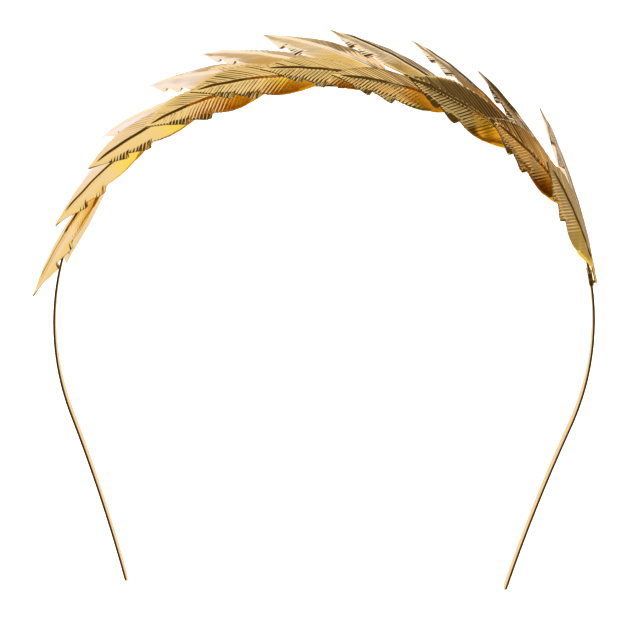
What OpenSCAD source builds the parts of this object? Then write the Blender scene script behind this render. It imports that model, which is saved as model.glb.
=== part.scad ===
// A headband of gilt metal with ten pairs of feather-like laurel leaves.
// It is laid out flat, with the crown of the arch towards +Y and the front row of leaves up,
// and is then tipped a little to lie as it does on a table. All lengths are in millimetres.

/* [Band] */
// Width of the band over its outer faces, where it is widest
band_w = 145.5; // [130:0.5:165]
// Height from the middle of the crown to the ends of the legs
band_h = 150; // [135:1:170]
// Depth of the strip from front edge to rear edge
band_depth = 3.5; // [2.5:0.1:5]
// Thickness of the strip
band_t = 0.7; // [0.5:0.05:1.2]
// Turn of the arc over the crown, in degrees
crown_turn = 36.5; // [30:0.5:42]
// Turn of the tighter arc at each shoulder, in degrees
shoulder_turn = 37; // [32:0.5:42]
// Turn of the arc at each temple, in degrees
temple_turn = 34.3; // [28:0.5:38]
// Radius of the slight outward sweep of the legs
leg_r = 590; // [400:10:900]

/* [Leaves] */
// Length of a leaf with its stem
leaf_l = 47; // [42:0.5:50]
// Width that a leaf would have with both sides as wide as its plain one
leaf_w = 16.8; // [13:0.2:18]
// Thickness of the sheet of a leaf
leaf_t = 0.35; // [0.25:0.05:0.5]
// Radius of the curve of a leaf along its length
leaf_r = 103; // [85:1:150]
// Fall of each side of a leaf below its rib, in degrees
leaf_fold = 6; // [0:0.5:12]
// Width of the raised rib
rib_w = 0.8; // [0.5:0.05:1.2]
// Height of the raised rib
rib_h = 0.3; // [0.1:0.05:0.5]

/* [Rows] */
// Mean distance along the band from one pair of leaves to the next
pitch = 17; // [16:0.1:20]
// Distance along the band from a front leaf's seat to that of its rear partner
stagger = 2.4; // [2.2:0.1:3.2]

/* [Stems and tabs] */
// Width of a stem
stem_w = 1.2; // [0.8:0.1:1.4]
// Height of a stem above the middle of the strip
stem_rise = 1.3; // [1.2:0.05:1.6]
// Distance of a stem from the middle of the strip's depth
stem_apart = 0.9; // [0.8:0.05:1.1]
// Length along the band of the tab that holds a leaf
tab_l = 1.8; // [1.4:0.1:2]
// Thickness of the tab's wall
tab_wall = 0.2; // [0.15:0.05:0.35]
// Clearance between tab and strip
tab_gap = 0.1; // [0.05:0.05:0.15]

/* [Hidden] */

// Columns of the two rows: seat along the band in pitches from the crown, splay out of the
// band's plane, lift off the band and roll about the rib, all three in degrees, and the curve
// along the leaf as a share of the usual one
SEAT = 0;
SPLAY = 1;
LIFT = 2;
ROLL = 3;
CURVE = 4;
FRONT = [
    [3.24, 32.5, -3.6, -1.3, 0.65],
    [2.11, 21.5, 1.5, 3.5, 1],
    [1.27, 29.5, 10, 6.5, 1],
    [0.46, 36.5, 16, 8, 1],
    [-0.33, 30, 16, 8.5, 1],
    [-1.35, 23.5, 13.5, 3, 1],
    [-2.38, 22.5, 8, 5.5, 1],
    [-3.54, 16.5, 3.3, 18.5, 1],
    [-4.69, 21.8, 0.7, 14.3, 1],
    [-5.66, 22, -4.5, 12.5, 0.55]
];
REAR = [
    [3.23, -24.5, -9.5, -13.5, 1],
    [2.11, -28, -3, -6, 1],
    [1.28, -25, 2, -0.8, 1],
    [0.46, -30.5, 6.5, 5.5, 1],
    [-0.33, -36, 8.5, 0, 1],
    [-1.35, -31, 8.5, 6, 1],
    [-2.4, -27.5, 8.3, 3.3, 1],
    [-3.57, -26.8, 7.4, -1.9, 1],
    [-4.7, -14, 1, 1.5, 0.8],
    [-5.68, -13.2, -0.8, -4, 0.55]
];

// Columns of the outline: distance from the tip as a share of the leaf's length, reach of the
// plain side, reach of the notched side and fall of its curled edge as shares of half the width
FROM_TIP = 0;
PLAIN = 1;
NOTCHED = 2;
CURL = 3;
OUTLINE = [
    [0, 0.02, 0.02, 0],
    [0.05, 0.21, 0.2, 0],
    [0.1, 0.4, 0.39, 0],
    [0.15, 0.57, 0.54, 0.02],
    [0.18, 0.66, 0.62, 0.06],
    [0.197, 0.7, 0.6, 0.08],
    [0.207, 0.73, 0.57, 0],
    [0.25, 0.84, 0.69, 0.01],
    [0.295, 0.91, 0.79, 0.06],
    [0.323, 0.94, 0.78, 0.1],
    [0.337, 0.95, 0.74, 0],
    [0.38, 0.98, 0.86, 0],
    [0.44, 0.99, 0.94, 0],
    [0.5, 0.97, 0.92, 0],
    [0.56, 0.94, 0.82, 0],
    [0.62, 0.88, 0.67, 0.01],
    [0.68, 0.76, 0.5, 0.02],
    [0.74, 0.58, 0.32, 0.02],
    [0.8, 0.33, 0.16, 0.01]
];
STEM_FROM = 0.845;
STEM_MID = 0.92;
STEM_LAST = 0.99;
STEM_END = 0.993;

// Columns of the arcs of half the band from the crown down: radius, turn, and 1 inward or
// -1 outward
RADIUS = 0;
TURN = 1;
BEND = 2;
CROWN_SHARE = 1.085;
SHOULDER_SHARE = 0.843;
TEMPLE_SHARE = 1.155;
half_w = (band_w - band_t) / 2;
side_turn = crown_turn + shoulder_turn;
share_sum = CROWN_SHARE * sin(crown_turn)
    + SHOULDER_SHARE * (sin(side_turn) - sin(crown_turn))
    + TEMPLE_SHARE * (1 - sin(side_turn));
crown_r = CROWN_SHARE * half_w / share_sum;
shoulder_r = SHOULDER_SHARE * half_w / share_sum;
temple_r = TEMPLE_SHARE * half_w / share_sum;
leg_lean = side_turn + temple_turn;
leg_top = crown_r * (1 - cos(crown_turn))
    + shoulder_r * (cos(crown_turn) - cos(side_turn))
    + temple_r * (cos(side_turn) - cos(leg_lean));
leg_turn = leg_lean - acos(cos(leg_lean) + (band_h - leg_top) / leg_r);
ARCS = [
    [crown_r, crown_turn, 1],
    [shoulder_r, shoulder_turn, 1],
    [temple_r, temple_turn, 1],
    [leg_r, leg_turn, -1]
];
DEG = 180 / PI;
function arc_l(i) = ARCS[i][RADIUS] * ARCS[i][TURN] / DEG;
half_l = arc_l(0) + arc_l(1) + arc_l(2) + arc_l(3);

function unit(v) = v / norm(v);

// Place on the right half of the band after a length from the crown: x, y and turn
function along(length, i = 0, x = 0, y = 0, h = 0) =
    let (r = ARCS[i][RADIUS], bend = ARCS[i][BEND], last = i == len(ARCS) - 1)
    let (part = last ? length : min(length, arc_l(i)))
    let (h2 = h + bend * part / r * DEG)
    let (x2 = x + bend * r * (sin(h2) - sin(h)), y2 = y + bend * r * (cos(h2) - cos(h)))
    part == length ? [x2, y2, h2] : along(length - part, i + 1, x2, y2, h2);

// A seat on the band, counted from the crown towards the left end: its point, the direction
// towards the left end and the direction out of the arch
function seat(length) =
    let (p = along(abs(length)), side = length > 0 ? -1 : 1)
    [
        [side * p[0], p[1], 0],
        [-cos(p[2]), side * sin(p[2]), 0],
        [side * sin(p[2]), cos(p[2]), 0]
    ];

// A leaf's own frame: the start of its stem, the directions along it, across it towards its
// notched side and out of its face, and the radius of its curve
function leaf_frame(row, shift) =
    let (s = seat(row[SEAT] * pitch + shift), front = row[SPLAY] > 0 ? 1 : -1)
    let (ahead = cos(row[SPLAY]) * (cos(row[LIFT]) * s[1] + sin(row[LIFT]) * s[2])
        + sin(row[SPLAY]) * [0, 0, 1])
    let (up = unit(s[2] - (s[2] * ahead) * ahead))
    let (across = cross(up, ahead))
    [
        s[0] + stem_rise * s[2] + front * stem_apart * [0, 0, 1],
        ahead,
        across * cos(row[ROLL]) - up * sin(row[ROLL]),
        up * cos(row[ROLL]) + across * sin(row[ROLL]),
        leaf_r / row[CURVE]
    ];

// A point of a leaf: its distance along the rib, across it and out of the face
function leaf_point(f, u, w, out) =
    let (r = f[4], a = u / r * DEG)
    f[0] + r * sin(a) * f[1] - r * (1 - cos(a)) * f[3] + w * f[2]
        + (out - tan(leaf_fold) * abs(w)) * (cos(a) * f[3] + sin(a) * f[1]);

// The cross sections of a leaf from tip to stem: distance along the rib, reach of the plain
// side, reach of the notched side, fall of its edge, and the hollow under its rib, which is
// shallow in the stem
half_leaf = leaf_w / 2;
stem_hollow = rib_h / 4;
SECTIONS = concat(
    [for (o = OUTLINE) [
        (1 - o[FROM_TIP]) * leaf_l,
        o[PLAIN] * half_leaf,
        o[NOTCHED] * half_leaf,
        o[CURL] * half_leaf,
        rib_h
    ]],
    [for (t = [STEM_FROM, STEM_MID, STEM_LAST])
        [(1 - t) * leaf_l, stem_w / 2, stem_w / 2, 0, stem_hollow]],
    [[(1 - STEM_END) * leaf_l, stem_w / 4, stem_w / 4, 0, stem_hollow]]
);
ACROSS = 5;
function section_points(f, s) =
    let (foot = min(rib_w / 2, 0.5 * s[2]), across = [-s[1], -foot, 0, foot, s[2]])
    let (over = [0, 0, rib_h, 0, -s[3]], under = [0, 0, s[4], 0, -s[3]])
    concat(
        [for (j = [0 : ACROSS - 1])
            leaf_point(f, s[0], across[j], leaf_t / 2 + over[j])],
        [for (j = [ACROSS - 1 : -1 : 0])
            leaf_point(f, s[0], across[j], -leaf_t / 2 + under[j])]
    );

// Faces of a tube of rings with n points each, closed at both ends
function tube_faces(rings, n) = concat(
    [for (i = [0 : rings - 2], j = [0 : n - 1])
        [i * n + j, (i + 1) * n + j, (i + 1) * n + (j + 1) % n]],
    [for (i = [0 : rings - 2], j = [0 : n - 1])
        [i * n + j, (i + 1) * n + (j + 1) % n, i * n + (j + 1) % n]],
    [[for (j = [0 : n - 1]) j]],
    [[for (j = [n - 1 : -1 : 0]) (rings - 1) * n + j]]
);

function leaf_points(row, shift) =
    let (f = leaf_frame(row, shift))
    [for (s = SECTIONS, p = section_points(f, s)) p];

// Rings of the strip: distance from the crown, and half its depth there, rounded at the ends
STEP = 4;
round_r = band_depth / 2;
corner = 0.28 * band_t;
ROUND = [0.03, 0.2, 0.5, 1];
ring_count = ceil((half_l - round_r) / STEP);
half_rings = concat(
    [for (e = ROUND) [half_l - e * round_r, round_r * sqrt(1 - pow(1 - e, 2))]],
    [for (i = [ring_count - 1 : -1 : 1]) [i * (half_l - round_r) / ring_count, round_r]]
);
BAND_RINGS = concat(
    half_rings,
    [[0, round_r]],
    [for (i = [len(half_rings) - 1 : -1 : 0]) [-half_rings[i][0], half_rings[i][1]]]
);
function band_ring(r) =
    let (s = seat(r[0]), t = band_t / 2, d = r[1], c = min(corner, 0.4 * r[1]))
    [for (p = [
        [-t, c - d], [c - t, -d], [t - c, -d], [t, c - d],
        [t, d - c], [t - c, d], [c - t, d], [-t, d - c]
    ]) s[0] + p[0] * s[2] + p[1] * [0, 0, 1]];
BAND_POINTS = [for (r = BAND_RINGS, p = band_ring(r)) p];

// How the headband lies: on the lowest points of two rear leaves and one end of the band,
// found again as the plane through them turns
FRONT_POINTS = [for (row = FRONT) leaf_points(row, 0)];
REAR_POINTS = [for (row = REAR) leaf_points(row, stagger)];
FEET = [REAR_POINTS[4], REAR_POINTS[7], BAND_POINTS];
function lowest(points, up, i = 1, best = 0) =
    i == len(points) ? points[best]
    : lowest(points, up, i + 1, points[i] * up < points[best] * up ? i : best);
function rest_up(up, turns) =
    turns == 0 ? up
    : let (a = lowest(FEET[0], up), b = lowest(FEET[1], up), c = lowest(FEET[2], up))
    let (n = unit(cross(b - a, c - a)))
    rest_up(n[2] < 0 ? -n : n, turns - 1);
UP = rest_up([0, 0.08, 1], 4);
RIGHT = unit([1, 0, 0] - UP[0] * UP);
AHEAD = cross(UP, RIGHT);
ALL_POINTS = [for (g = concat(FRONT_POINTS, REAR_POINTS, [BAND_POINTS]), p = g) p];
function middle(axis) =
    let (a = [for (p = ALL_POINTS) p * axis])
    (min(a) + max(a)) / 2;
LOW = min([for (p = ALL_POINTS) p * UP]);

module lying() {
    multmatrix([
        [RIGHT[0], RIGHT[1], RIGHT[2], -middle(RIGHT)],
        [AHEAD[0], AHEAD[1], AHEAD[2], -middle(AHEAD)],
        [UP[0], UP[1], UP[2], -LOW]
    ])
        children();
}

module band() {
    color("goldenrod")
        lying()
            polyhedron(BAND_POINTS, tube_faces(len(BAND_RINGS), 8));
}

// The tab folded round the strip just ahead of a leaf's seat
function tab_seat(row, shift) = seat(row[SEAT] * pitch + shift + tab_l / 2);
module tab(s) {
    inner = [band_t + 2 * tab_gap, tab_l, band_depth + 2 * tab_gap];
    wall = [2 * tab_wall, 0, 2 * tab_wall];
    multmatrix([
        [s[2][0], s[1][0], 0, s[0][0]],
        [s[2][1], s[1][1], 0, s[0][1]],
        [0, 0, 1, 0]
    ])
        difference() {
            cube(inner + wall, center = true);
            cube(inner + [0, 2, 0], center = true);
        }
}

// The foot that carries the stem: it stands on the tab's outer wall, follows the stem for a
// third of the tab's length and ends halfway through its thickness
foot_from = (1 - STEM_LAST) * leaf_l + 0.15;
foot_to = foot_from + tab_l / 3;
foot_half = 0.3 * stem_w;
foot_base = band_t / 2 + tab_gap + tab_wall / 2;
FOOT_CORNERS = [[foot_from, -1], [foot_to, -1], [foot_to, 1], [foot_from, 1]];
function foot_points(f, s) =
    let (top = [for (c = FOOT_CORNERS) leaf_point(f, c[0], c[1] * foot_half, 0)])
    concat([for (p = top) p + (foot_base - (p - s[0]) * s[2]) * s[2]], top);

module leaf(points, row, shift) {
    s = tab_seat(row, shift);
    lying() {
        polyhedron(points, tube_faces(len(SECTIONS), 2 * ACROSS));
        polyhedron(foot_points(leaf_frame(row, shift), s), tube_faces(2, 4));
        tab(s);
    }
}

module front_leaf(i) {
    color("gold")
        leaf(FRONT_POINTS[i], FRONT[i], 0);
}

module rear_leaf(i) {
    color("khaki")
        leaf(REAR_POINTS[i], REAR[i], stagger);
}

function leaf_name(row, i) = str(row, i < 9 ? "0" : "", i + 1);

band();
for (i = [0 : len(FRONT) - 1])
    front_leaf(i);
for (i = [0 : len(REAR) - 1])
    rear_leaf(i);
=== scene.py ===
"""A gilt headband with ten pairs of feather-like laurel leaves, as it lies on a table.

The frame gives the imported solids. This script repeats the construction of the band and of the
leaves from their sizes, and builds each leaf again with its barbs, rib, curled lobes and rim.
Lengths are in millimetres until a mesh is made, and in metres in the scene.
"""

import math

import bpy
import numpy as np
from mathutils import Matrix, Vector


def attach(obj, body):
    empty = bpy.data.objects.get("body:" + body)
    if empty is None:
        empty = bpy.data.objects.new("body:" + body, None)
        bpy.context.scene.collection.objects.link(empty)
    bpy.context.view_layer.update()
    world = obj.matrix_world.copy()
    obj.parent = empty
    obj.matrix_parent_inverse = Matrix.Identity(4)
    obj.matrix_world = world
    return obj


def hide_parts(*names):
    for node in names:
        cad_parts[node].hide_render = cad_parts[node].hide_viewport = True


MM = 0.001

# The band: its width, height, depth and thickness, the turns of its crown, shoulder and temple
# arcs in degrees, the radius of its legs, and how the other three radii compare
BAND_W = 145.5
BAND_H = 150
BAND_DEPTH = 3.5
BAND_T = 0.7
CROWN_TURN = 36.5
SHOULDER_TURN = 37
TEMPLE_TURN = 34.3
LEG_R = 590
CROWN_SHARE = 1.085
SHOULDER_SHARE = 0.843
TEMPLE_SHARE = 1.155

# A leaf: its length with the stem, width, thickness, the radius of its lengthwise curve, its fold
# in degrees, and the width and height of its rib
LEAF_L = 47
LEAF_W = 16.8
LEAF_T = 0.35
LEAF_R = 103
LEAF_FOLD = 6
RIB_W = 0.8
RIB_H = 0.3
HALF_LEAF = LEAF_W / 2

# The pitch of the seats along the band, and how far on the rear row is. The stems: width, and how
# far they start out from the band's middle and apart from it. The tabs: length, wall, clearance,
# and the round of their folds and edges. The foot on a tab, which carries a stem: length, width,
# round, and how far along the stem it starts from the stem's last full width
PITCH = 17
STAGGER = 2.4
STEM_W = 1.2
STEM_RISE = 1.3
STEM_APART = 0.9
TAB_L = 1.8
TAB_WALL = 0.2
TAB_GAP = 0.1
TAB_FOLD_R = 0.2
TAB_EDGE_R = 0.08
TAB_FOOT_L = TAB_L / 3
TAB_FOOT_W = 0.6 * STEM_W
TAB_FOOT_R = 0.12
TAB_FOOT_IN = 0.15

# Rows of leaves, mostly the rounded results of a fit to the leaves' tips and outlines in the
# photograph: seat along the band in pitches from the crown, splay out of the band's plane, lift
# off the band and roll about the rib, all three in degrees, and the curve along the leaf as a
# share of the usual
FRONT = [
    (3.24, 32.5, -3.6, -1.3, 0.65),
    (2.11, 21.5, 1.5, 3.5, 1),
    (1.27, 29.5, 10, 6.5, 1),
    (0.46, 36.5, 16, 8, 1),
    (-0.33, 30, 16, 8.5, 1),
    (-1.35, 23.5, 13.5, 3, 1),
    (-2.38, 22.5, 8, 5.5, 1),
    (-3.54, 16.5, 3.3, 18.5, 1),
    (-4.69, 21.8, 0.7, 14.3, 1),
    (-5.66, 22, -4.5, 12.5, 0.55),
]
REAR = [
    (3.23, -24.5, -9.5, -13.5, 1),
    (2.11, -28, -3, -6, 1),
    (1.28, -25, 2, -0.8, 1),
    (0.46, -30.5, 6.5, 5.5, 1),
    (-0.33, -36, 8.5, 0, 1),
    (-1.35, -31, 8.5, 6, 1),
    (-2.4, -27.5, 8.3, 3.3, 1),
    (-3.57, -26.8, 7.4, -1.9, 1),
    (-4.7, -14, 1, 1.5, 0.8),
    (-5.68, -13.2, -0.8, -4, 0.55),
]

# Outline of a leaf, partly from the same fit: distance from the tip as a share of its length,
# then the reach of the plain side, the reach of the notched side and the fall of its curled edge
# as shares of half its width
OUTLINE = [
    (0, 0.02, 0.02, 0),
    (0.05, 0.21, 0.2, 0),
    (0.1, 0.4, 0.39, 0),
    (0.15, 0.57, 0.54, 0.02),
    (0.18, 0.66, 0.62, 0.06),
    (0.197, 0.7, 0.6, 0.08),
    (0.207, 0.73, 0.57, 0),
    (0.25, 0.84, 0.69, 0.01),
    (0.295, 0.91, 0.79, 0.06),
    (0.323, 0.94, 0.78, 0.1),
    (0.337, 0.95, 0.74, 0),
    (0.38, 0.98, 0.86, 0),
    (0.44, 0.99, 0.94, 0),
    (0.5, 0.97, 0.92, 0),
    (0.56, 0.94, 0.82, 0),
    (0.62, 0.88, 0.67, 0.01),
    (0.68, 0.76, 0.5, 0.02),
    (0.74, 0.58, 0.32, 0.02),
    (0.8, 0.33, 0.16, 0.01),
]

# The stem: where it starts, where it is last at its full width and where it ends, as shares of
# the leaf's length from the tip, and its half width at four places
STEM_FROM = 0.845
STEM_LAST = 0.99
STEM_END = 0.993
STEM_SHARES = [
    (STEM_FROM, STEM_W / 2),
    (0.92, STEM_W / 2),
    (STEM_LAST, STEM_W / 2),
    (STEM_END, STEM_W / 4),
]
BLADE_FROM = (1 - STEM_FROM) * LEAF_L

# The rib of the solids: the share of a narrow side that its foot may take, how deep it is hollow
# underneath on the stem, and the distance along the leaf past which it is hollow in full
RIB_SHARE = 0.5
STEM_HOLLOW = RIB_H / 4
HOLLOW_FROM = BLADE_FROM + 1

# How the headband lies: the two rear leaves that it rests on with one end of the band, a first
# guess of the direction up, the rounds that settle it, and the places along the band that are tried
RESTING = (4, 7)
FIRST_UP = (0, 0.08, 1)
LIE_ROUNDS = 4
BAND_PLACES = 400

# The finer forms of a leaf that only this script has. The barbs: their pitch along the rib at the
# tip, its growth towards the stem, how many there are on the plain and the notched side for each
# of these pitches, their sweep towards the tip in degrees on the two sides, their height, how much
# it varies, the mesh's steps to a pitch, how round they are, the part of their height that lies
# under the sheet, how far from the ridge they are full, and the reach between which they fade at
# the tip. Each leaf has its own depth of barbs on the two sides
BARB_PITCH = 0.95
BARB_GROWS = 0.012
BARB_SHARE = (0.62, 1)
BARB_SWEEP = (48, 46)
BARB_H = 0.17
BARB_VARIES = 0.25
BARB_STEPS = 9
BARB_ROUND = 0.65
BARB_SUNK = 0.6
BARB_RISE = 0.5
BARB_REACHES = (0.2, 1.6)
BARB_SEED = 11
SHALLOW = (0.25, 0.25)
FRONT_DEPTHS = [SHALLOW] * 3 + [(1, 1)] * 3 + [(0.3, 1)] + [(1, 1)] * 3

# The base lobe of the notched side: how much of the barbs is left there, and the distances along
# the rib between which they come back. The curled edge: how many times as far as the solid's it
# falls, the shares of the reach between which it falls, how it spreads along the edge, and how
# deep the grooves scallop it
LOBE_CALM = 0.12
LOBE_FROM = 17
LOBE_TO = 25
CURL_FALL = 1.4
CURL_FROM = 0.7
CURL_TO = 1.06
CURL_SPREAD = 0.5
SCALLOP = 0.2

# The thin rim's width and thickness, the ridge's width and height, the distances round the
# blade's start between which it rises and the one in which it dies away at the tip, and the share
# of a narrow side that it may take
RIM = 0.06
RIM_T = 0.14
RIDGE_W = 1.1
RIDGE_H = 0.5
RIDGE_BEFORE = 2
RIDGE_AFTER = 3
RIDGE_FADE = 7
RIDGE_SHARE = 0.6

# The long waves of the sheet: their height and length, the size and the tightness of the second
# ones, the distances along the rib between which they set in, and the first rear leaf's seed
WAVE_H = 0.05
WAVE_L = 11
WAVE_SHARE = 0.6
WAVE_TIGHT = 1.7
WAVE_FROM = 6
WAVE_TO = 12
REAR_SEED = 50

# The mesh: the narrowest reach, how far the barbs are looked for and in how many steps, the first
# ring's place in pitches from the tip, how far the blade's rings run on to the stem, the stem's
# rings, and the places of the columns across the rib and across a side as shares of each
LEAST_REACH = 0.02
SEARCH_W = LEAF_W * 0.6
SEARCH_STEPS = 600
TIP_TURN = 0.04
STEM_OVERLAP = 0.5
STEM_RINGS = 12
RIB_ACROSS = (0.25, 0.5, 0.75, 1)
ACROSS = (0.08, 0.22, 0.38, 0.54, 0.68, 0.77, 0.85, 0.93, 1)
PLAIN = 0
NOTCHED = 1

# The band's mesh: the steps of a round corner, the angles of the rings on its round ends in
# degrees, its rings on each side, the least square of half its depth, and the round of its edges
# as a share of its thickness, or of half its depth near an end
ROUND_STEPS = 4
END_ANGLES = range(8, 91, 10)
BAND_RINGS = 120
LEAST_SQUARE = 0.01
EDGE_SHARE = 0.28
END_SHARE = 0.4

# The gilding: the colours of the front leaves, the rear ones made paler as a painted sheen for the
# brighter light they mirror, and the band, with a deeper amber near a leaf's foot that is a painted
# reflection of the gilt of the leaf beside it, the roughness, the fineness and detail of its
# unevenness and the shares between which it varies, and how much rougher it is under the painted
# amber. A leaf is marked for the painted amber on its notched side, wholly from DEEP_ASIDE beside
# the rib and from DEEP_TO down along it
LEAF_COLOR = (0.9, 0.63, 0.23)
LEAF_PAINTED_AMBER = (1, 0.7, 0.04)
REAR_PAINTED_SHEEN = (0.97, 0.8, 0.56)
REAR_PAINTED_AMBER = (0.97, 0.66, 0.2)
BAND_COLOR = (0.93, 0.68, 0.3)
LEAF_ROUGHNESS = 0.06
BAND_ROUGHNESS = 0.08
LEAF_GRAIN = 300
BAND_GRAIN = 200
GRAIN_DETAIL = 4
GLOSSIEST = 0.8
DULLEST = 1.3
PAINTED_AMBER_MARK = "painted_amber"
DEEP_SOFT = 0.2
DEEP_ASIDE = 1.5
DEEP_FROM = 30
DEEP_TO = 22

# The photograph's camera, fitted to the headband for a distance that was chosen: its elevation over
# the upright headband, its distance from the point it looks at, how far that point lies under the
# crown and to the left, the headband's lean in the picture, a length upward that sets which way
# is up, the scale at that point, the picture's width in pixels, the sensor's width, and the
# nearest that the camera sees, in metres
CAMERA_UP = 25
CAMERA_FAR = 550
CAMERA_DROP = 66.52
CAMERA_SHIFT = 1.195
CAMERA_LEAN = 1.6156
CAMERA_ABOVE = 100
MM_PER_PIXEL = 0.2685
PICTURE = 640
SENSOR = 36
CAMERA_NEAR = 0.01

# The floor: its size in metres, its pale colour and roughness, and the lamp over it, with its
# height, its size and its power. Neither is seen in the gilt
FLOOR_SIZE = 6
FLOOR_PALE = 0.92
FLOOR_ROUGHNESS = 0.9
LAMP_UP = 1.5
LAMP_SIZE = 5
LAMP_POWER = 300

# The studio that the gilt mirrors: the dim room, and the cards in it, of which a later one covers
# an earlier one. Each has the azimuth and elevation of its middle, the angles from there at which
# it is full and at which it ends, all in degrees, and its light. Azimuth 0 is the crown's side,
# 90 is the right of the picture, and elevation -90 is straight below
ROOM = (0.09, 0.06, 0.025)
CARDS = [
    (0, -90, 74, 92, (1, 0.99, 0.93)),  # a white sweep below
    (-65, -50, 20, 38, (1, 1, 1.2)),  # a cool white box low on the left
    (-60, 5, 30, 44, (1, 0.99, 0.98)),  # a large white box on the left
    (90, -48, 27, 46, (0.36, 0.31, 0.27)),  # a grey flag low on the right
    (-10, -68, 16, 23, (0.6, 0.46, 0.27)),  # a light brown flag under the crown
    (40, -68, 13, 19, (0.3, 0.2, 0.1)),  # a brown flag to its right
    (50, -21, 17, 26, (0.06, 0.04, 0.015)),  # a dark flag on the right of the crown
    (64, 7, 7, 13, (1, 0.97, 0.9)),  # a small white box over it
    (65, -32, 5, 10, (1.4, 0.85, 0.35)),  # a small warm lamp under it
    (150, -30, 25, 40, (0.9, 0.78, 0.55)),  # a cream box beyond the right leg
    (140, -70, 12, 20, (1, 0.88, 0.8)),  # a warm white box under the right leg
    (-118, -62, 10, 18, (1, 0.88, 0.8)),  # a warm white box under the left leg
    (180, 55, 12, 22, (0.05, 0.03, 0.01)),  # a dark flag over the open side
]


def sin(degrees):
    return math.sin(math.radians(degrees))


def cos(degrees):
    return math.cos(math.radians(degrees))


def unit(v):
    return v / np.linalg.norm(v)


def band_arcs():
    """Arcs of half the band from the crown down: radius, turn in radians, 1 inward or -1 outward."""
    half_w = (BAND_W - BAND_T) / 2
    side_turn = CROWN_TURN + SHOULDER_TURN
    lean = side_turn + TEMPLE_TURN
    shares = (
        CROWN_SHARE * sin(CROWN_TURN)
        + SHOULDER_SHARE * (sin(side_turn) - sin(CROWN_TURN))
        + TEMPLE_SHARE * (1 - sin(side_turn))
    )
    crown_r = CROWN_SHARE * half_w / shares
    shoulder_r = SHOULDER_SHARE * half_w / shares
    temple_r = TEMPLE_SHARE * half_w / shares
    leg_top = (
        crown_r * (1 - cos(CROWN_TURN))
        + shoulder_r * (cos(CROWN_TURN) - cos(side_turn))
        + temple_r * (cos(side_turn) - cos(lean))
    )
    leg_turn = math.radians(lean) - math.acos(cos(lean) + (BAND_H - leg_top) / LEG_R)
    return [
        (crown_r, math.radians(CROWN_TURN), 1),
        (shoulder_r, math.radians(SHOULDER_TURN), 1),
        (temple_r, math.radians(TEMPLE_TURN), 1),
        (LEG_R, leg_turn, -1),
    ]


ARCS = band_arcs()
HALF_L = sum(radius * turn for radius, turn, bend in ARCS)


def along(length):
    """Place on the right half of the band after a length from the crown: x, y and turn."""
    x, y, heading = 0.0, 0.0, 0.0
    for radius, turn, bend in ARCS:
        part = min(length, radius * turn)
        after = heading + bend * part / radius
        x += bend * radius * (math.sin(after) - math.sin(heading))
        y += bend * radius * (math.cos(after) - math.cos(heading))
        heading = after
        length -= part
    return x, y, heading


def seat(length):
    """A seat on the band, counted towards the left end: point, direction to that end, direction outward."""
    x, y, heading = along(abs(length))
    side = -1 if length > 0 else 1
    point = np.array([side * x, y, 0])
    to_left = np.array([-math.cos(heading), side * math.sin(heading), 0])
    outward = np.array([side * math.sin(heading), math.cos(heading), 0])
    return point, to_left, outward


def leaf_frame(row, shift):
    """A leaf's frame: its stem's start, the directions ahead, across and out, and its curve's radius."""
    place, splay, lift, roll, curve = row
    point, to_left, outward = seat(place * PITCH + shift)
    depth = np.array([0, 0, 1])
    side = 1 if splay > 0 else -1
    ahead = cos(splay) * (cos(lift) * to_left + sin(lift) * outward) + sin(splay) * depth
    up = unit(outward - (outward @ ahead) * ahead)
    across = np.cross(up, ahead)
    return (
        point + STEM_RISE * outward + side * STEM_APART * depth,
        ahead,
        across * cos(roll) - up * sin(roll),
        up * cos(roll) + across * sin(roll),
        LEAF_R / curve,
    )


def leaf_points(leaf, u, w, out):
    """Points of a leaf from arrays of the distance along its rib, across it and out of its face."""
    base, ahead, across, face, radius = leaf
    a = (u / radius)[..., None]
    off = (out - math.tan(math.radians(LEAF_FOLD)) * abs(w))[..., None]
    return (
        base
        + radius * np.sin(a) * ahead
        - radius * (1 - np.cos(a)) * face
        + w[..., None] * across
        + off * (np.cos(a) * face + np.sin(a) * ahead)
    )


def solid_leaf_points(leaf):
    """The corners of a leaf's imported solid, which settle how the headband lies."""
    sections = [
        ((1 - tip) * LEAF_L, plain * HALF_LEAF, notched * HALF_LEAF, curl * HALF_LEAF)
        for tip, plain, notched, curl in OUTLINE
    ]
    sections += [((1 - tip) * LEAF_L, half, half, 0) for tip, half in STEM_SHARES]
    rows = []
    for u, plain, notched, curl in sections:
        foot = min(RIB_W / 2, RIB_SHARE * notched)
        hollow = RIB_H if u > HOLLOW_FROM else STEM_HOLLOW
        for w, over, under in (
            (-plain, 0, 0),
            (-foot, 0, 0),
            (0, RIB_H, hollow),
            (foot, 0, 0),
            (notched, -curl, -curl),
        ):
            rows.append((u, w, over + LEAF_T / 2))
            rows.append((u, w, under - LEAF_T / 2))
    u, w, out = np.array(rows).T
    return leaf_points(leaf, u, w, out)


FRONT_LEAVES = [leaf_frame(row, 0) for row in FRONT]
REAR_LEAVES = [leaf_frame(row, STAGGER) for row in REAR]


def band_points():
    """The corners of the band's solid at places along its whole length."""
    rings = []
    for length in np.linspace(-HALF_L, HALF_L, BAND_PLACES):
        point, to_left, outward = seat(length)
        left = HALF_L - abs(length)
        reach = BAND_DEPTH / 2
        if left < reach:
            reach = math.sqrt(max(0, reach * reach - (reach - left) ** 2))
        for side in (-1, 1):
            for face in (-1, 1):
                rings.append(point + face * BAND_T / 2 * outward + side * reach * np.array([0, 0, 1]))
    return np.array(rings)


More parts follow.
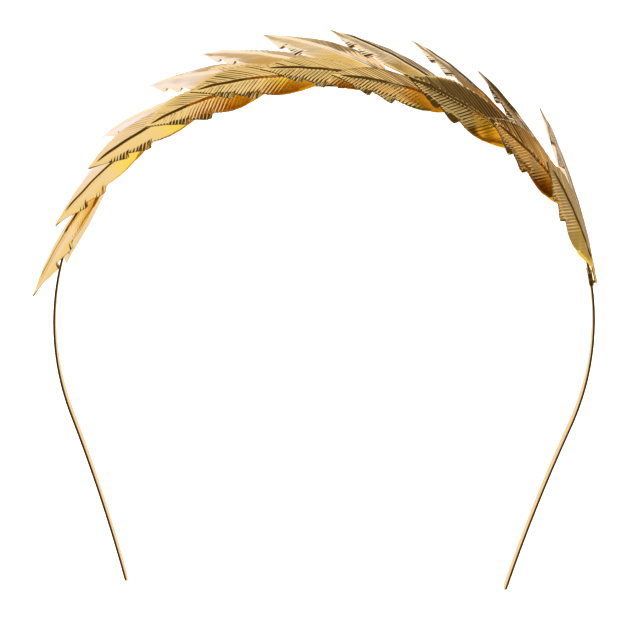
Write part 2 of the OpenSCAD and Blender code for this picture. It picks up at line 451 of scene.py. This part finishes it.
def lie_down():
    """The turn and shift from the flat headband to how it lies, on two rear leaves and one band end."""
    feet = [solid_leaf_points(REAR_LEAVES[i]) for i in RESTING] + [band_points()]
    up = unit(np.array(FIRST_UP))
    for _ in range(LIE_ROUNDS):
        a, b, c = (points[np.argmin(points @ up)] for points in feet)
        up = unit(np.cross(b - a, c - a))
        up = up if up[2] > 0 else -up
    right = unit(np.array([1, 0, 0]) - up[0] * up)
    turn = np.array([right, np.cross(up, right), up])
    every = [solid_leaf_points(leaf) for leaf in FRONT_LEAVES + REAR_LEAVES] + [band_points()]
    turned = np.concatenate(every) @ turn.T
    low, high = turned.min(0), turned.max(0)
    shift = np.array([(low[0] + high[0]) / 2, (low[1] + high[1]) / 2, low[2]])
    return turn, shift


TURN, SHIFT = lie_down()


def to_world(points):
    """Points of the flat headband in millimetres, as they lie in the scene, in metres."""
    return (np.asarray(points) @ TURN.T - SHIFT) * MM


def smooth_step(x, low, high):
    """0 at low and 1 at high, with a soft rise between. It falls where low is the greater."""
    t = np.clip((x - low) / (high - low), 0, 1)
    return t * t * (3 - 2 * t)


def tube_faces(rings, count):
    """Quads of a tube of rings with count points each, and its two end caps."""
    faces = []
    for i in range(rings - 1):
        for j in range(count):
            k = (j + 1) % count
            faces.append((i * count + j, (i + 1) * count + j, (i + 1) * count + k, i * count + k))
    faces.append(tuple(range(count)))
    faces.append(tuple((rings - 1) * count + j for j in reversed(range(count))))
    return faces


def make_object(name, parts, material):
    """One smooth object from parts, each of points in the flat headband's frame and faces."""
    points, faces, start = [], [], 0
    for part_points, part_faces in parts:
        points.append(part_points)
        faces += [tuple(start + i for i in face) for face in part_faces]
        start += len(part_points)
    mesh = bpy.data.meshes.new(name)
    mesh.from_pydata(to_world(np.concatenate(points)).tolist(), [], faces)
    mesh.validate()
    mesh.shade_smooth()
    mesh.materials.append(material)
    obj = bpy.data.objects.new(name, mesh)
    bpy.context.scene.collection.objects.link(obj)
    return obj


# The outline as arrays that rise along the rib from the stem to the tip
OUTLINE_U = np.array(
    [(1 - tip) * LEAF_L for tip, half in reversed(STEM_SHARES)]
    + [(1 - row[0]) * LEAF_L for row in reversed(OUTLINE)]
)
REACH = [
    np.array(
        [half for tip, half in reversed(STEM_SHARES)]
        + [row[column] * HALF_LEAF for row in reversed(OUTLINE)]
    )
    for column in (1, 2)
]
CURL = np.array([0] * len(STEM_SHARES) + [row[3] * HALF_LEAF for row in reversed(OUTLINE)])

# Half the ridge's width, and how far the barbs run on along the rib for a length across it
FOOT = RIDGE_W / 2
SWEEP = [math.tan(math.radians(sweep)) for sweep in BARB_SWEEP]


def barb_reach(s, reach, sweep):
    """How far from the rib each barb that starts at s meets the leaf's outline."""
    w = np.linspace(0, SEARCH_W, SEARCH_STEPS)
    found = []
    for start in s:
        room = np.interp(start + np.maximum(w - FOOT, 0) * sweep, OUTLINE_U, reach, right=0) - w
        i = max(1, int(np.argmax(room < 0)))
        share = room[i - 1] / (room[i - 1] - room[i])
        found.append(max(LEAST_REACH, w[i - 1] + share * (w[i] - w[i - 1])))
    return np.array(found)


def leaf_stations():
    """Distances along the rib of the mesh's rings: sparse on the stem, several to a barb on the blade."""
    first = BLADE_FROM - STEM_OVERLAP
    count = math.log(1 + BARB_GROWS * (LEAF_L - first) / BARB_PITCH) / BARB_GROWS
    turns = np.arange(TIP_TURN, count, 1 / BARB_STEPS)[::-1]
    blade = LEAF_L - (np.exp(BARB_GROWS * turns) - 1) * BARB_PITCH / BARB_GROWS
    stem = np.linspace((1 - STEM_END) * LEAF_L, blade[0], STEM_RINGS, endpoint=False)
    return np.concatenate([stem, blade])


# The rings' distances along the rib, and the same counted in pitches of the barbs from the tip
STATIONS = leaf_stations()
BARB_TURNS = np.log(1 + BARB_GROWS * (LEAF_L - STATIONS) / BARB_PITCH) / BARB_GROWS


def barb_heights(column):
    """The height of a side's rounded barbs over the stations: narrow grooves lie between them."""
    random = np.random.default_rng(BARB_SEED + column)
    size = 1 + BARB_VARIES * random.uniform(-1, 1, int(BARB_TURNS[0]) + 2)
    turn = BARB_SHARE[column] * BARB_TURNS + column / 2
    bar = np.abs(np.sin(math.pi * turn)) ** BARB_ROUND
    return bar * size[np.floor(turn).astype(int)]


def rib_heights():
    """The height of the ridge over the stations: it dies away at the tip, and is low on the stem."""
    on_blade = smooth_step(STATIONS, BLADE_FROM - RIDGE_BEFORE, BLADE_FROM + RIDGE_AFTER)
    from_tip = smooth_step(LEAF_L - STATIONS, 0, RIDGE_FADE)
    return from_tip * (RIB_H + (RIDGE_H - RIB_H) * on_blade)


def leaf_side(column, depth):
    """Columns of one side of a leaf from the rib to the edge: distances u, w and out, ring by ring."""
    sweep = SWEEP[column]
    reach = barb_reach(STATIONS, REACH[column], sweep)
    inner = np.minimum(FOOT, RIDGE_SHARE * reach)
    on_blade = smooth_step(STATIONS, BLADE_FROM - 1, BLADE_FROM + 1)
    if column == NOTCHED:
        on_blade = on_blade * (LOBE_CALM + (1 - LOBE_CALM) * smooth_step(STATIONS, LOBE_FROM, LOBE_TO))
    near_tip = smooth_step(reach, *BARB_REACHES)
    rib = rib_heights()
    bars = barb_heights(column)
    edge_u = STATIONS + np.maximum(reach - FOOT, 0) * sweep
    curled = np.zeros(len(STATIONS))
    if column == NOTCHED:
        curled = np.interp(edge_u, OUTLINE_U, CURL / CURL.max()) ** CURL_SPREAD
    fall = CURL_FALL * CURL.max() * curled
    reach = reach - SCALLOP * (1 - np.minimum(bars, 1)) * curled
    columns = []
    for share in RIB_ACROSS:
        w = inner * share
        columns.append((STATIONS, w, rib * (0.5 + 0.5 * math.cos(math.pi * share))))
    for share in ACROSS:
        w = inner + (reach - inner) * share
        u = STATIONS + np.maximum(w - FOOT, 0) * sweep
        height = depth * BARB_H / BARB_SHARE[column] * smooth_step(w, FOOT, FOOT + BARB_RISE)
        relief = height * (bars - BARB_SUNK) * on_blade * near_tip
        out = relief - fall * smooth_step(share, CURL_FROM, CURL_TO)
        columns.append((u, w, out))
    return columns


def leaf_grid(depths):
    """One leaf in its own coordinates: arrays u, w and out with a ring of points for each station."""
    plain = leaf_side(PLAIN, depths[PLAIN])
    notched = leaf_side(NOTCHED, depths[NOTCHED])
    top = [(u, -w, out) for u, w, out in reversed(plain)]
    top.append((STATIONS, 0 * STATIONS, rib_heights()))
    top += notched
    halves = [LEAF_T / 2] * len(top)
    halves[0] = halves[-1] = RIM_T / 2
    halves[1] = halves[-2] = (LEAF_T + RIM_T) / 4
    rings = [(u, w, out + half) for (u, w, out), half in zip(top, halves)]
    u, w, out = top[-1]
    rings.append((u, w + RIM, out))
    rings += [(u, w, out - half) for (u, w, out), half in zip(reversed(top), reversed(halves))]
    u, w, out = top[0]
    rings.append((u, w - RIM, out))
    return [np.array([ring[k] for ring in rings]).T for k in range(3)]


def rounded_rectangle(width, height, radius):
    """Points of a rectangle with round corners, centred, in order round it."""
    points = []
    for turn, (x, y) in enumerate(((1, 1), (-1, 1), (-1, -1), (1, -1))):
        for step in range(ROUND_STEPS + 1):
            angle = 90 * (turn + step / ROUND_STEPS)
            points.append(
                (
                    x * (width / 2 - radius) + radius * cos(angle),
                    y * (height / 2 - radius) + radius * sin(angle),
                )
            )
    return np.array(points)


def swept_ring(path, section):
    """A closed ring: the section (out, along) at each of the path's points with their outward normals."""
    points = []
    for i, (x, y) in enumerate(path):
        before, after = path[i - 1], path[(i + 1) % len(path)]
        tangent = unit(after - before)
        normal = np.array([tangent[1], -tangent[0]])
        for out, side in section:
            points.append((x + out * normal[0], side, y + out * normal[1]))
    count = len(section)
    faces = []
    for i in range(len(path)):
        for j in range(count):
            a, b = (i + 1) % len(path), (j + 1) % count
            faces.append((i * count + j, i * count + b, a * count + b, a * count + j))
    return np.array(points), faces


def tab_parts(row, shift, leaf):
    """The tab folded round the strip just ahead of a leaf's seat, and the foot that carries the stem."""
    point, to_left, outward = seat(row[0] * PITCH + shift + TAB_L / 2)
    axes = np.array([outward, to_left, [0, 0, 1]])
    middle = [BAND_T + 2 * TAB_GAP + TAB_WALL, BAND_DEPTH + 2 * TAB_GAP + TAB_WALL]
    path = rounded_rectangle(middle[0], middle[1], TAB_FOLD_R)
    section = rounded_rectangle(TAB_WALL, TAB_L, TAB_EDGE_R)
    ring, ring_faces = swept_ring(path, section)
    foot_from = (1 - STEM_LAST) * LEAF_L + TAB_FOOT_IN
    outline = rounded_rectangle(TAB_FOOT_L, TAB_FOOT_W, TAB_FOOT_R)
    u, w = outline[:, 0] + foot_from + TAB_FOOT_L / 2, outline[:, 1]
    head = leaf_points(leaf, u, w, 0 * u)
    base = BAND_T / 2 + TAB_GAP + TAB_WALL / 2
    drop = (head - point) @ outward - base
    foot = head - drop[:, None] * outward
    return [
        (point + ring @ axes, ring_faces),
        (np.concatenate([foot, head]), tube_faces(2, len(outline))),
    ]


def make_leaf(name, row, shift, leaf, grid, material, seed):
    """A leaf with its rib, barbs, lobes and rim, its stem and the tab that holds it."""
    u, w, out = grid
    turns = np.random.default_rng(seed).uniform(0, 2 * math.pi, 3)
    wave = np.sin(2 * math.pi * u / WAVE_L + turns[0]) * np.cos(math.pi * w / WAVE_L + turns[1])
    wave += WAVE_SHARE * np.sin(2 * math.pi * (u / WAVE_L * WAVE_TIGHT + w / WAVE_L) + turns[2])
    height = smooth_step(u, WAVE_FROM, WAVE_TO) * WAVE_H
    points = leaf_points(leaf, u, w, out + height * wave).reshape(-1, 3)
    faces = tube_faces(u.shape[0], u.shape[1])
    parts = [(points, faces)] + tab_parts(row, shift, leaf)
    obj = make_object(name + "_gilt", parts, material)
    # Painted reflection: a deeper amber on the notched side near the foot, standing in for the gilt of the
    # leaf beside it mirrored there
    painted_amber = smooth_step(w, 0, DEEP_ASIDE) * smooth_step(u, DEEP_FROM, DEEP_TO)
    marks = np.zeros(len(obj.data.vertices))
    marks[: painted_amber.size] = painted_amber.ravel()
    obj.data.attributes.new(PAINTED_AMBER_MARK, "FLOAT", "POINT").data.foreach_set("value", marks)
    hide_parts(name)
    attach(obj, "root")


def make_band(material):
    """The strip, swept along its arcs with rounded edges and round ends."""
    reach = BAND_DEPTH / 2
    lengths = [HALF_L - reach * (1 - cos(angle)) for angle in END_ANGLES]
    lengths += list(np.linspace(HALF_L - reach, 0, BAND_RINGS)[1:])
    lengths += [-length for length in reversed(lengths[:-1])]
    rings = []
    for length in lengths:
        point, to_left, outward = seat(length)
        left = HALF_L - abs(length)
        half = reach
        if left < reach:
            half = math.sqrt(max(LEAST_SQUARE, reach**2 - (reach - left) ** 2))
        corner = min(EDGE_SHARE * BAND_T, END_SHARE * half)
        for out, depth in rounded_rectangle(BAND_T, 2 * half, corner):
            rings.append(point + out * outward + depth * np.array([0, 0, 1]))
    count = 4 * (ROUND_STEPS + 1)
    obj = make_object("band_gilt", [(np.array(rings), tube_faces(len(lengths), count))], material)
    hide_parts("band")
    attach(obj, "root")


def gold(name, color, painted_amber, roughness, grain):
    """Polished gilt metal, a little uneven in gloss. Where a mesh marks it, the colour is deeper as a
    painted amber reflection and the gloss is softer.
    """
    material = bpy.data.materials.new(name)
    material.use_nodes = True
    nodes, links = material.node_tree.nodes, material.node_tree.links
    shader = nodes["Principled BSDF"]
    # Painted reflection: the mark mixes in the deeper amber that stands in for gilt mirrored in gilt
    mark = nodes.new("ShaderNodeAttribute")
    mark.attribute_name = PAINTED_AMBER_MARK
    tone = nodes.new("ShaderNodeMix")
    tone.data_type = "RGBA"
    tone.inputs["A"].default_value = (*color, 1)
    tone.inputs["B"].default_value = (*painted_amber, 1)
    links.new(mark.outputs["Fac"], tone.inputs["Factor"])
    links.new(tone.outputs["Result"], shader.inputs["Base Color"])
    shader.inputs["Metallic"].default_value = 1
    place = nodes.new("ShaderNodeTexCoord")
    noise = nodes.new("ShaderNodeTexNoise")
    noise.inputs["Scale"].default_value = grain
    noise.inputs["Detail"].default_value = GRAIN_DETAIL
    spread = nodes.new("ShaderNodeMapRange")
    spread.inputs["To Min"].default_value = roughness * GLOSSIEST
    spread.inputs["To Max"].default_value = roughness * DULLEST
    links.new(place.outputs["Object"], noise.inputs["Vector"])
    links.new(noise.outputs["Fac"], spread.inputs["Value"])
    soften = nodes.new("ShaderNodeMath")
    soften.operation = "MULTIPLY_ADD"
    soften.inputs[1].default_value = DEEP_SOFT
    links.new(mark.outputs["Fac"], soften.inputs[0])
    links.new(spread.outputs["Result"], soften.inputs[2])
    links.new(soften.outputs["Value"], shader.inputs["Roughness"])
    return material


def floor_material():
    """The floor's even, dull pale surface."""
    material = bpy.data.materials.new("floor")
    material.use_nodes = True
    shader = material.node_tree.nodes["Principled BSDF"]
    shader.inputs["Base Color"].default_value = (FLOOR_PALE, FLOOR_PALE, FLOOR_PALE, 1)
    shader.inputs["Roughness"].default_value = FLOOR_ROUGHNESS
    return material


def make_camera():
    """The photograph's camera. It sees the upright headband from the front and a little above."""
    lean_cos, lean_sin = cos(CAMERA_LEAN), sin(CAMERA_LEAN)
    tilt = np.array([[lean_cos, 0, lean_sin], [0, 1, 0], [-lean_sin, 0, lean_cos]])

    def place(point):
        """From the picture's frame to the scene: out of the lean, then flat, then as it lies."""
        upright = tilt.T @ (np.array(point) - [CAMERA_SHIFT, 0, 0]) - [0, 0, CAMERA_DROP]
        return Vector(to_world([upright[0], upright[2], -upright[1]]))

    eye = place([0, -CAMERA_FAR * cos(CAMERA_UP), CAMERA_FAR * sin(CAMERA_UP)])
    target = place([0, 0, 0])
    top = place([0, 0, CAMERA_ABOVE])
    data = bpy.data.cameras.new("camera")
    camera = bpy.data.objects.new("camera", data)
    bpy.context.scene.collection.objects.link(camera)
    data.sensor_width = SENSOR
    data.lens = SENSOR * CAMERA_FAR / (MM_PER_PIXEL * PICTURE)
    data.clip_start = CAMERA_NEAR
    back = (eye - target).normalized()
    right = (top - target).cross(back).normalized()
    turn = Matrix((right, back.cross(right), back)).transposed()
    camera.matrix_world = Matrix.Translation(eye) @ turn.to_4x4()
    bpy.context.scene.camera = camera


def make_lamp():
    """The wide lamp over the floor. The gilt doesn't mirror it."""
    data = bpy.data.lights.new("floor_light", "AREA")
    data.size = LAMP_SIZE
    data.energy = LAMP_POWER
    lamp = bpy.data.objects.new("floor_light", data)
    lamp.location = (0, 0, LAMP_UP)
    lamp.visible_glossy = False
    bpy.context.scene.collection.objects.link(lamp)


def make_floor():
    """A pale floor under the headband. The gilt doesn't mirror it, but the studio round it."""
    mesh = bpy.data.meshes.new("floor")
    far = FLOOR_SIZE / 2
    mesh.from_pydata([(-far, -far, 0), (far, -far, 0), (far, far, 0), (-far, far, 0)], [], [(0, 1, 2, 3)])
    mesh.materials.append(floor_material())
    floor = bpy.data.objects.new("floor", mesh)
    bpy.context.scene.collection.objects.link(floor)
    floor.visible_glossy = False


def direction(azimuth, elevation):
    """A unit vector from degrees: azimuth 0 is +Y and 90 is +X."""
    return (
        sin(azimuth) * cos(elevation),
        cos(azimuth) * cos(elevation),
        sin(elevation),
    )


def make_studio():
    """The studio that the gilt mirrors: a dim room with soft cards, each laid over the ones before."""
    world = bpy.data.worlds.new("studio")
    bpy.context.scene.world = world
    world.use_nodes = True
    nodes, links = world.node_tree.nodes, world.node_tree.links
    background = nodes["Background"]
    place = nodes.new("ShaderNodeTexCoord")
    room = nodes.new("ShaderNodeRGB")
    room.outputs["Color"].default_value = (*ROOM, 1)
    light = room.outputs["Color"]
    for azimuth, elevation, inner, outer, color in CARDS:
        near = nodes.new("ShaderNodeVectorMath")
        near.operation = "DOT_PRODUCT"
        near.inputs[1].default_value = direction(azimuth, elevation)
        links.new(place.outputs["Generated"], near.inputs[0])
        edge = nodes.new("ShaderNodeMapRange")
        edge.interpolation_type = "SMOOTHSTEP"
        edge.inputs["From Min"].default_value = cos(outer)
        edge.inputs["From Max"].default_value = cos(inner)
        links.new(near.outputs["Value"], edge.inputs["Value"])
        mix = nodes.new("ShaderNodeMix")
        mix.data_type = "RGBA"
        mix.inputs["B"].default_value = (*color, 1)
        links.new(edge.outputs["Result"], mix.inputs["Factor"])
        links.new(light, mix.inputs["A"])
        light = mix.outputs["Result"]
    links.new(light, background.inputs["Color"])


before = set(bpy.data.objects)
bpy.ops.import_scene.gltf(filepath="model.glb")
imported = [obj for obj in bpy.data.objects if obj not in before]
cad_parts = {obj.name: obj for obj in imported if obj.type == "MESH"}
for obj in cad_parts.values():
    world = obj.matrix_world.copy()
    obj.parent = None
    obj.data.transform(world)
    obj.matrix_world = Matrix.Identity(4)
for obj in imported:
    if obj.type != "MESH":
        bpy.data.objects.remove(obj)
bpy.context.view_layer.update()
make_camera()
make_floor()
make_lamp()
make_studio()
leaf_gold = gold("leaf_gold", LEAF_COLOR, LEAF_PAINTED_AMBER, LEAF_ROUGHNESS, LEAF_GRAIN)
# Painted sheen: the rear leaves are the same gilt as the front ones, made paler for the brighter light they
# mirror
sheen_painted_gold = gold("sheen_painted_gold", REAR_PAINTED_SHEEN, REAR_PAINTED_AMBER, LEAF_ROUGHNESS, LEAF_GRAIN)
band_gold = gold("band_gold", BAND_COLOR, BAND_COLOR, BAND_ROUGHNESS, BAND_GRAIN)
make_band(band_gold)
shallow_grid = leaf_grid(SHALLOW)
for number in range(len(FRONT)):
    name = f"leaf_{number + 1:02d}"
    grid = leaf_grid(FRONT_DEPTHS[number])
    make_leaf("front_" + name, FRONT[number], 0, FRONT_LEAVES[number], grid, leaf_gold, number)
    rear = REAR_LEAVES[number]
    seed = REAR_SEED + number
    make_leaf("rear_" + name, REAR[number], STAGGER, rear, shallow_grid, sheen_painted_gold, seed)
scene = bpy.context.scene
scene.view_settings.view_transform = "Standard"
